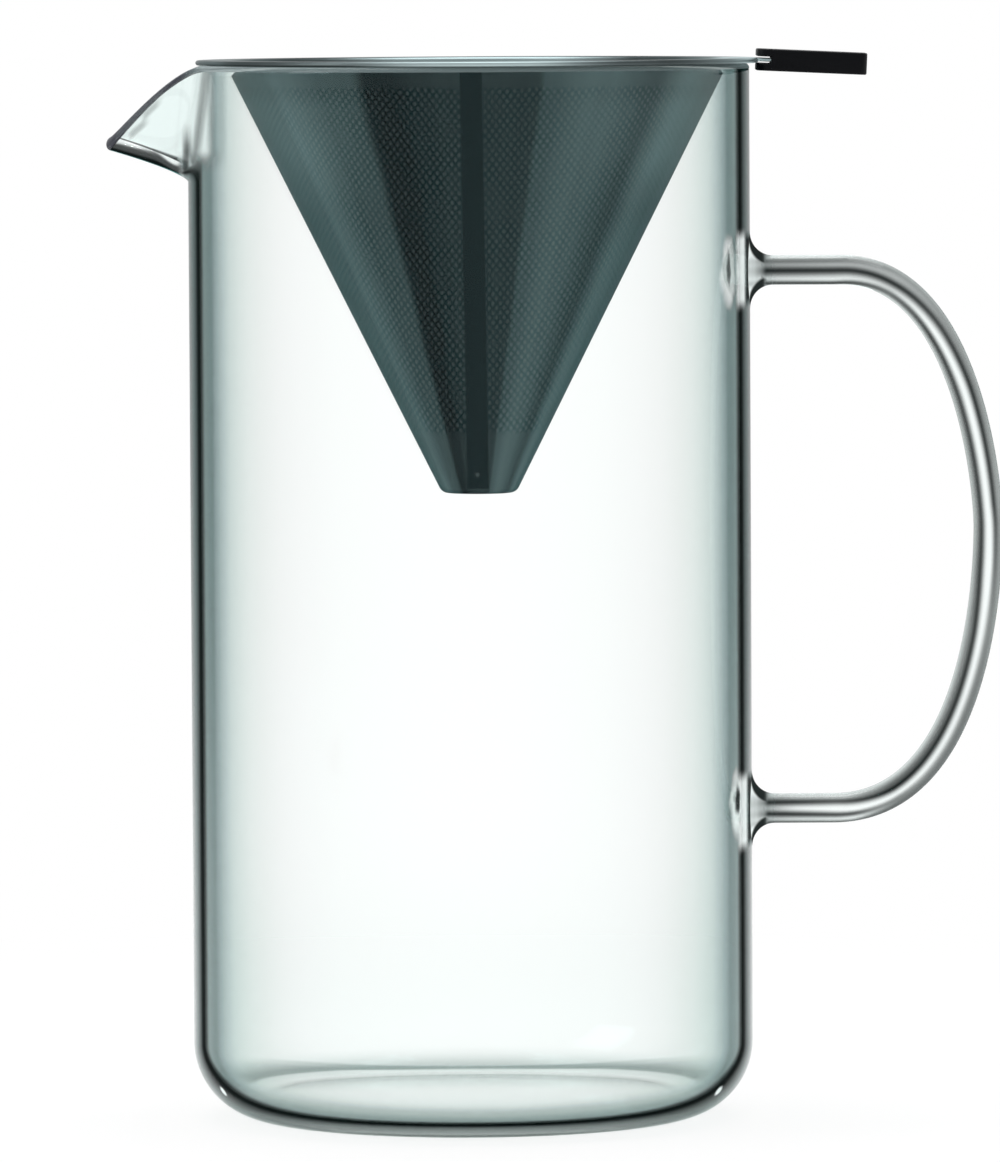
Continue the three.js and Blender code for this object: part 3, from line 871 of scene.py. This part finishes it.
def outer_glass():
    """The vessel's outer face: clear where it is met square on, with painted shade deepening
    to a grey green where it is grazed, a painted dark line at its edge, and the bent image
    of each fused foot beside it painted in light and shade, with painted highlights by the
    joints and on the base corner and painted dark lines on the spout."""
    made, nodes = material("outer_glass")
    x, y, z = nodes.parts(nodes.place())
    facing = nodes.facing()
    seen = nodes.ray("Is Camera Ray")

    # The edge's painted dark line, which runs on round the base corner, and where painted shade
    # falls low on the base
    turn = x * x / (x * x + y * y)
    bend = (1 - turn) * base_corner(nodes, z) * seen * 0.286
    line = nodes.ramp(facing + bend, PAINTED_EDGE_LINE)
    upright = nodes.maths("MAXIMUM", seen, nodes.smooth(z, 0.002, 0.013) * 0.7 + 0.3)
    radius = (x * x + y * y) ** 0.5
    hem = nodes.until(z, 0.0045, 0.0085) * nodes.smooth(radius, 0.043, 0.048)
    low = seen * nodes.until(z, 0.006, 0.0105)

    # The bent image of each foot, painted as a light halo with a dark core, the painted highlight
    # and painted shade beside the joint, and painted highlights on the base corner
    side = nodes.maths("ABSOLUTE", nodes.maths("ARCTAN2", y, x) * (JUG_RADIUS * MM))
    bent = nodes.noise(nodes.place(), 170, 2)
    wander = side + bent * 0.005 - 0.0025
    height = z + bent * 0.004 - 0.002
    halo = (oval(nodes, wander, height, (23.2, HANDLE_TOP + 0.6), (3.3, 6.4)) * 0.75
            + oval(nodes, wander, height, (18.6, HANDLE_BOTTOM + 2), (4.2, 5.8))) * seen
    core = (oval(nodes, wander, height, (23.6, HANDLE_TOP + 1.6), (1.1, 3.3)) * 0.85
            + oval(nodes, wander, height, (19, HANDLE_BOTTOM + 3), (2, 2.9))) * seen
    level = nodes.maths("MAXIMUM", *(
        nodes.near(z - (foot + 0.5) * MM, 0.0055, 0.0085) for foot in (HANDLE_TOP, HANDLE_BOTTOM)
    ))
    fused = level * nodes.until(side, 0.024, 0.028)
    gleam = fused * nodes.smooth(facing, 0.7, 0.75) * nodes.until(facing, 0.78, 0.83) * seen
    root = fused * nodes.smooth(facing, 0.8, 0.85) * seen
    spark = (oval(nodes, side, z, (23.8, 6.9), (1.5, 1))
             + oval(nodes, side, z, (152.4, 7.1), (1.3, 1)))

    # The spout: painted shade on its underside, painted dark lines at the crease at its root and
    # at the fold, and painted dark streaks by the lip
    loose = loose_wall(nodes, x, z)
    pulled = nodes.smooth(0.0 - x, *SPOUT_ROOT)
    grazed = facing - nodes.smooth(x, -0.062, -0.057) * 0.22
    keel = nodes.smooth(grazed, 0.28, 0.37) * 0.72 + nodes.smooth(grazed, 0.45, 0.6) * 0.22
    under = pulled * keel
    crease = nodes.near(x + 0.0554, 0.0002, 0.001) * nodes.smooth(z, 0.184, 0.187)
    crease = crease * nodes.until(z, 0.19, 0.197) * seen * 0.7
    fold = nodes.near(x + 0.0515 + (0.206 - z) * 0.139, 0.0001, 0.001)
    fold = fold * nodes.smooth(z, 0.186, 0.19) * seen * 0.45
    streaks = (streak(nodes, x, z, (-66.4, 194.1), 0.8) * 0.26
               + streak(nodes, x, z, (-63.8, 197.7), 0.92) * 0.24) * pulled * seen

    # Painted shade in the tint, lighter where the feet's images are painted, then the painted dark
    # lines and painted highlights mixed over it
    tint = nodes.ramp(facing, PAINTED_WALL_SHADE)
    tint = nodes.mix(hem, tint, (0.64, 0.72, 0.7, 1))
    tint = nodes.mix(low, tint, nodes.ramp(facing + bend, PAINTED_CORNER_SHADE))
    tint = nodes.mix(fused * nodes.smooth(facing, 0.68, 0.72) * 0.8, tint, (0.9, 0.95, 0.94, 1))
    tint = nodes.mix(halo * 0.8, tint, (0.93, 0.97, 0.96, 1))
    drawn = line * upright * (1 - fused * 0.85) * (1 - loose) * (1 - spark * seen)
    for part in (core * 0.95, under, crease, fold, streaks, root * 0.93):
        drawn = nodes.maths("MAXIMUM", drawn, part)
    dark = painted_shade_glass(nodes, nodes.mix(root, nodes.ramp(facing, PAINTED_LINE_TONE), rgb(10, 20, 19)))
    painted_glow = painted_glow_glass(nodes, rgb(236, 244, 243))
    glass = nodes.either(gleam * 0.85 + spark * seen * 0.8, wall_glass(nodes, tint, loose), painted_glow)
    nodes.show(lit_through(nodes, nodes.either(drawn, glass, dark)))
    return made


def inner_glass():
    """The vessel's inner face, nearly clear, with painted shade: deeper low down and where
    it is grazed, where the wall would trap light, under the spout, and in a soft line round the
    back of its floor.
    """
    made, nodes = material("inner_glass")
    x, y, z = nodes.parts(nodes.place())
    facing = nodes.facing()
    # Painted shade: the tint deepens where the face is grazed and towards the bottom
    clear = nodes.ramp(facing, [(0.0, (0.98, 0.99, 0.985)), (1.0, (0.85, 0.9, 0.89))])
    deepening = nodes.until(z, 0.012, 0.06) * (0.5 + nodes.smooth(facing, 0.2, 0.5))
    clear = nodes.mix(deepening * 0.75, clear, (0.8, 0.87, 0.85, 1))
    # A painted dark line round the back of the floor
    reach = (x * x + y * y) ** 0.5 - x * x * 0.36
    floor_line = nodes.smooth(reach, 0.0444, 0.0455) * nodes.until(reach, 0.0462, 0.0504)
    back = nodes.smooth(y, 0.002, 0.012) * nodes.until(z, 0.0075, 0.016)
    tint = nodes.mix(floor_line * back * 0.9, clear, (0.05, 0.09, 0.08, 1))
    # Painted shade where the wall would reflect all light back inside, and under the spout
    trapped = nodes.smooth(nodes.add("Fresnel", None, {"IOR": GLASS_IOR}), 0.96, 1.0)
    shallow = nodes.ramp(facing + base_corner(nodes, z) * (facing - 0.262) * 1.8, [
        (0.25, 1.0), (0.3, 1.0), (0.36, 0.5), (0.5, 0.2), (1.0, 0.1),
    ])
    loose = loose_wall(nodes, x, z)
    under = nodes.smooth(0.0 - x, 0.0545, 0.0562) * nodes.smooth(facing, 0.5, 0.7) * 0.8
    drawn = nodes.maths("MAXIMUM", trapped * shallow * (1 - loose), under)
    dark = painted_shade_glass(nodes, rgb(9, 20, 19))
    nodes.show(lit_through(nodes, nodes.either(drawn, wall_glass(nodes, tint, loose), dark)))
    return made


def rim_glass():
    """The fire-polished rim, mostly painted: a grey that glows a little, as painted light and
    shade, with a painted dark line along the spout's lip.
    """
    made, nodes = material("rim_glass")
    facing = nodes.facing()
    tint = nodes.ramp(facing, [
        (0.0, (0.85, 0.9, 0.89)), (0.3, (0.6, 0.68, 0.66)), (0.6, (0.4, 0.47, 0.46)),
        (1.0, (0.25, 0.31, 0.3)),
    ])
    lip = nodes.smooth(0.0 - nodes.parts(nodes.place())[0], 0.051, 0.057)
    # Painted grey with a painted glow, darker along the lip
    dark = nodes.principled(
        Base_Color=nodes.mix(lip, rgb(84, 98, 100), rgb(40, 42, 52)),
        Roughness=0.5, Specular_IOR_Level=0.2,
        Emission_Color=nodes.mix(lip, rgb(66, 74, 74), rgb(8, 8, 10)), Emission_Strength=1.0,
    )
    grazed = nodes.smooth(facing, 0.7, 0.95) * (1 - lip)
    drawn = 0.66 + lip * 0.26 + grazed * 0.35
    nodes.show(lit_through(nodes, nodes.either(drawn, solid_glass(nodes, tint), dark)))
    return made


def rod_glass():
    """The handle's solid rod with painted dark lines along it, painted shade deepening where it is
    grazed, and a painted glow in the fused feet.
    """
    made, nodes = material("rod_glass")
    lines = nodes.add("Attribute", {"attribute_name": "line_depth"}, None, "Fac")
    tint = nodes.ramp(nodes.facing(), [
        (0.0, (0.9, 0.95, 0.94)), (0.6, (0.82, 0.91, 0.89)), (1.0, (0.6, 0.7, 0.68)),
    ])
    x = nodes.parts(nodes.place())[0]
    foot = nodes.until(x, (JUG_RADIUS + 1.5) * MM, (JUG_RADIUS + FOOT_LENGTH + 1.5) * MM)
    painted_glow = painted_glow_glass(nodes, rgb(240, 247, 246))
    light = nodes.either(foot * 0.8, solid_glass(nodes, tint), painted_glow)
    dark = painted_shade_glass(nodes, rgb(8, 20, 19), 0.5)
    drawn = lines * nodes.ray("Is Camera Ray")
    nodes.show(lit_through(nodes, nodes.either(drawn, light, dark)))
    return made


# Steel and polymer

# Painted reflections on the cone's sheet: its tone by bearing from the seam in degrees
PAINTED_BANDS = [
    (-180, 70), (-150, 95), (-140, 50), (-118, 48), (-112, 88), (-90, 108), (-66, 112),
    (-55, 112), (-45, 96), (-38, 86), (-30, 78), (-27, 34), (-19, 30), (-16, 44), (-8, 56),
    (0, 58), (8, 60), (14.6, 58), (15.6, 88), (22, 98), (27, 102), (34, 100), (41, 84),
    (46, 73), (51, 94), (57, 118), (66, 120), (74, 116), (86, 108), (120, 52), (150, 92),
    (180, 70),
]
# Painted reflections on the flange: the tone of its sectors by bearing
PAINTED_SHEEN = [
    (-180, 140), (-160, 130), (-140, 80), (-128, 70), (-105, 112), (-90, 112), (-78, 104),
    (-68, 108), (-60, 68), (-50, 60), (-38, 80), (-26, 90), (-15, 126), (0, 142), (12, 136),
    (20, 108), (30, 76), (42, 55), (50, 78), (57, 106), (63, 130), (69, 172), (74, 205),
    (84, 220), (98, 220), (108, 140), (125, 80), (140, 66), (160, 140), (180, 140),
]
HOLE_PITCH = (1.42, 2.1)
WIRE_PITCH = (0.6, 0.6)
PLAIN_TOP = 4.4
PLAIN_BOTTOM = 12.25
WELD_DROP = 80.6


def round_axis(nodes):
    """Bearing round the filter's axis from the seam, distance from the axis, and x and z."""
    x, y, z = nodes.parts(nodes.place((FILTER_SHIFT * MM, 0, 0)))
    return nodes.maths("ARCTAN2", x, 0.0 - y), (x * x + y * y) ** 0.5, x, z


def by_bearing(nodes, bearing, tones, red):
    """A grey looked up by bearing in a table of tones, with its share of red."""
    stops = [((turn + 180) / 360, rgb(tone * red, tone, tone * 1.01)[:3]) for turn, tone in tones]
    return nodes.ramp(bearing / (2 * math.pi) + 0.5, stops)


def unrolled(nodes, bearing, radius, pitches):
    """A pattern's turns across and down the cone's sheet as it lies unrolled."""
    slant = radius / (math.sin(CONE_SLOPE) * MM)
    turn = bearing * math.sin(CONE_SLOPE)
    across = nodes.maths("SINE", turn) * slant * (2 * math.pi / pitches[0])
    down = nodes.maths("COSINE", turn) * slant * (2 * math.pi / pitches[1])
    return across, down


def perforated_steel():
    """Etched sheet with painted reflections in soft dark and light bands and streaks, lighter
    near the top, and fine staggered holes between plain margins."""
    made, nodes = material("perforated_steel")
    bearing, radius, x, z = round_axis(nodes)
    across, down = unrolled(nodes, bearing, radius, HOLE_PITCH)
    rows = nodes.maths("COSINE", across) * nodes.maths("COSINE", down)
    flat = nodes.add("Mapping", None, {
        "Vector": nodes.place((FILTER_SHIFT * MM, 0, 0)), "Scale": (1, 1, 0),
    })
    heading = nodes.add("VectorMath", {"operation": "NORMALIZE"}, {0: flat})
    # Painted reflections: streaks round the cone and the bands by bearing, wobbling a little
    streaks = nodes.noise(heading, 7, 4, 0.6)
    drift = (nodes.noise(nodes.place(), 45, 2) * 0.008 - 0.004) * (2 * math.pi)
    bands = by_bearing(nodes, bearing + drift, PAINTED_BANDS, 0.83)
    # A painted light towards the top, off the middle
    off_middle = nodes.smooth(nodes.maths("ABSOLUTE", x), 0.012, 0.03)
    lift = off_middle * nodes.smooth(z, 0.176, 0.194) * (0.4 - nodes.smooth(z, 0.199, 0.203) * 0.2)
    bands = nodes.add("VectorMath", {"operation": "SCALE"}, {
        0: bands, "Scale": streaks * 0.8 + 0.6 + lift,
    })

    top = FILTER_TOP - PLAIN_TOP
    bottom = FILTER_TOP - CONE_DEPTH + PLAIN_BOTTOM
    sheet = nodes.until(z, (top - 0.2) * MM, (top + 0.2) * MM)
    sheet = sheet * nodes.smooth(z, (bottom - 0.25) * MM, (bottom + 0.25) * MM)
    dots = nodes.smooth(rows, -0.1, 0.6) * sheet
    patches = nodes.smooth(nodes.noise(nodes.place(), 260, 2), 0.3, 0.7)
    fine = nodes.noise(nodes.place(), 1100, 3)
    light = nodes.smooth(nodes.parts(bands)[1], 0.04, 0.1)
    depth = (patches * 0.023 + 0.026) * (1 + light * 0.6)
    speckle = (dots - 0.42 * sheet) * depth + fine * 0.012 - 0.006
    nodes.show(nodes.principled(
        Base_Color=nodes.add("VectorMath", {"operation": "ADD"}, {0: bands, 1: speckle}),
        Metallic=1.0, Roughness=0.42 + fine * 0.1 + dots * 0.1,
        Specular_Tint=(0.25, 0.28, 0.28, 1), Normal=nodes.bump(dots, 0.00002, 0.3),
    ))
    return made


def seam_steel():
    """The plain lapped strip, darker than the sheet, with one small weld mark."""
    made, nodes = material("seam_steel")
    point = nodes.place()
    weld = (
        FILTER_SHIFT * MM - 0.0004,
        -slope_radius(-WELD_DROP, -SEAM_RISE) * MM,
        (FILTER_TOP - WELD_DROP) * MM,
    )
    away = nodes.add("VectorMath", {"operation": "DISTANCE"}, {0: point, 1: weld}, "Value")
    mark = nodes.until(away, 0.0003, 0.0006)
    brushed = nodes.add("Mapping", None, {"Vector": point, "Scale": (1, 1, 0.03)})
    brushed = nodes.noise(brushed, 1500, 2)
    nodes.show(nodes.principled(
        Base_Color=nodes.mix(mark * 0.5 + brushed * 0.03, rgb(11, 20, 21), rgb(90, 100, 100)),
        Metallic=1.0, Roughness=0.34 + brushed * 0.12,
        Specular_Tint=(0.25, 0.28, 0.28, 1), Normal=nodes.bump(mark, 0.0001),
    ))
    return made


def woven_steel():
    """Fine plain weave, over and under along the slope and round the cone, with painted shade
    where the wires dip under and painted highlights on their crowns.
    """
    made, nodes = material("woven_steel")
    bearing, radius = round_axis(nodes)[:2]
    across, down = unrolled(nodes, bearing, radius, WIRE_PITCH)
    over = nodes.maths("SINE", across) * nodes.maths("SINE", down)
    # The wires' height sets painted shade and painted highlight
    height = nodes.smooth(over, -1, 1)
    tint = nodes.mix(height, rgb(70, 76, 77), rgb(178, 184, 184))
    cloud = nodes.noise(nodes.place(), 90, 3)
    nodes.show(nodes.principled(
        Base_Color=nodes.mix(cloud * 0.3, tint, rgb(90, 96, 98)), Metallic=1.0,
        Roughness=0.42 + cloud * 0.12, Normal=nodes.bump(height, 0.0001, 0.6),
    ))
    return made


def satin_steel():
    """Satin sheet with a faint turned grain, painted reflections in the light and dark sectors of
    a turned face, and a painted glow along the flange's edge, strongest at its front and back."""
    made, nodes = material("satin_steel")
    bearing, radius, x, z = round_axis(nodes)
    sectors = by_bearing(nodes, bearing, PAINTED_SHEEN, 0.9)
    grain = {"W": radius, "Scale": 9000.0, "Detail": 2.0}
    rings = nodes.add("TexNoise", {"noise_dimensions": "1D"}, grain)
    cloud = nodes.noise(nodes.place(), 140, 3)
    # A painted glow on the flange's edge, strongest at the front and back and on its lower half
    middle = nodes.near(x, 0.008, 0.026) * 0.92 + 0.08
    edge = nodes.smooth(radius, 0.0549, 0.0552) * (1 - nodes.smooth(z, 0.2082, 0.2087) * 0.6)
    nodes.show(nodes.principled(
        Base_Color=nodes.mix(cloud * 0.2, sectors, rgb(120, 130, 132)), Metallic=1.0,
        Roughness=0.24 + rings * 0.12 + cloud * 0.06, Specular_Tint=(0.5, 0.52, 0.52, 1),
        Emission_Color=nodes.mix(edge * middle, (0, 0, 0, 1), rgb(122, 133, 133)),
        Emission_Strength=1.0, Normal=nodes.bump(rings, 0.00001, 0.4),
    ))
    return made


def grip_polymer():
    """Black heat-proof plastic with a fine moulded grain, worn a little glossy."""
    made, nodes = material("grip_polymer")
    grain = nodes.noise(nodes.place(), 3500, 2)
    cloud = nodes.noise(nodes.place(), 120, 2)
    nodes.show(nodes.principled(
        Base_Color=nodes.mix(cloud, rgb(1, 2, 5), rgb(5, 7, 11)),
        Roughness=0.42 + grain * 0.14, IOR=1.5, Specular_IOR_Level=0.12,
        Normal=nodes.bump(grain, 0.00004, 0.4),
    ))
    return made


# Floor, light and camera

FLOOR_HALF = 30
FLOOR_DROP = 0.0002
SENSOR_WIDTH = 36
LENS_LENGTH = SENSOR_WIDTH * 10.875
EYE = Vector((0, -2.14, 0.2296))
AIM = Vector((0.0057, 0, 0.10577))
CAMERA_ROLL = math.radians(-0.3)


def lay_floor():
    """A plain white floor that still takes the jug's soft shadow."""
    made, nodes = material("white_floor")
    matt = nodes.add("BsdfDiffuse", None, {"Color": (0.9, 0.9, 0.9, 1)})
    x, y = nodes.parts(nodes.place())[:2]
    away = nodes.smooth((x * x + y * y) ** 0.5, 0.12, 0.4)
    through = nodes.ray("Is Transmission Ray")
    seen = nodes.maths("MINIMUM", nodes.ray("Is Camera Ray") + through, 1.0)
    white = nodes.add("Emission", None, {"Color": (1, 1, 1, 1), "Strength": 1 + through * 0.05})
    nodes.show(nodes.either(seen * (0.8 + away * 0.2), matt, white))
    bm = bmesh.new()
    bmesh.ops.create_grid(bm, x_segments=1, y_segments=1, size=FLOOR_HALF)
    bmesh.ops.translate(bm, vec=(0, 0, -FLOOR_DROP), verts=bm.verts)
    mesh = bpy.data.meshes.new("floor")
    bm.to_mesh(mesh)
    bm.free()
    mesh.materials.append(made)
    floor = bpy.data.objects.new("floor", mesh)
    bpy.context.scene.collection.objects.link(floor)


def looking(place, aim):
    """The place and turn of a lamp or camera that looks at a point."""
    turn = (Vector(aim) - Vector(place)).to_track_quat("-Z", "Y").to_matrix().to_4x4()
    return Matrix.Translation(place) @ turn


def hang_lamp(name, place, aim, size, power):
    """A soft box that shines at a point."""
    lamp = bpy.data.lights.new(name, "AREA")
    lamp.shape = "RECTANGLE"
    lamp.size, lamp.size_y = size
    lamp.energy = power
    holder = bpy.data.objects.new(name, lamp)
    bpy.context.scene.collection.objects.link(holder)
    holder.matrix_world = looking(place, aim)


def light_studio():
    """A white room for the eye and through the glass, plain and softer for the rest."""
    world = bpy.data.worlds.new("white_studio")
    bpy.context.scene.world = world
    nodes = Nodes(world)
    away = nodes.parts(nodes.add("TexCoord", None, None, "Generated"))[1]
    backdrop = nodes.ray("Is Glossy Ray") * nodes.smooth(away, 0.0, 0.6)
    through = nodes.ray("Is Transmission Ray") * 1.05
    seen = nodes.maths("MAXIMUM", nodes.ray("Is Camera Ray"), through)
    strength = nodes.maths("MAXIMUM", seen, 0.6 + backdrop * 0.4)
    sky = nodes.add("Background", None, {"Color": (1, 1, 1, 1), "Strength": strength})
    nodes.show(sky, "OutputWorld")
    hang_lamp("top_box", (0.0, 0.1, 1.3), (0, 0, 0.1), (1.2, 0.9), 14)
    hang_lamp("left_box", (-1.2, -0.5, 0.7), (0, 0, 0.12), (0.5, 0.9), 5)


def set_camera():
    """The photo's view: a long lens, a little above the jug's rim."""
    lens = bpy.data.cameras.new("camera")
    lens.sensor_fit = "HORIZONTAL"
    lens.sensor_width = SENSOR_WIDTH
    lens.lens = LENS_LENGTH
    camera = bpy.data.objects.new("camera", lens)
    bpy.context.scene.collection.objects.link(camera)
    camera.matrix_world = looking(EYE, AIM) @ Matrix.Rotation(CAMERA_ROLL, 4, "Z")
    bpy.context.scene.camera = camera


set_camera()
blow_jug(outer_glass(), inner_glass(), rod_glass(), rim_glass())
roll_cone(perforated_steel(), seam_steel())
weave_liner(woven_steel())
satin = satin_steel()
press_cap(satin)
press_flange(satin)
bend_tongue(satin)
mould_grip(grip_polymer())
lay_floor()
light_studio()

bpy.context.scene.view_settings.view_transform = "Standard"
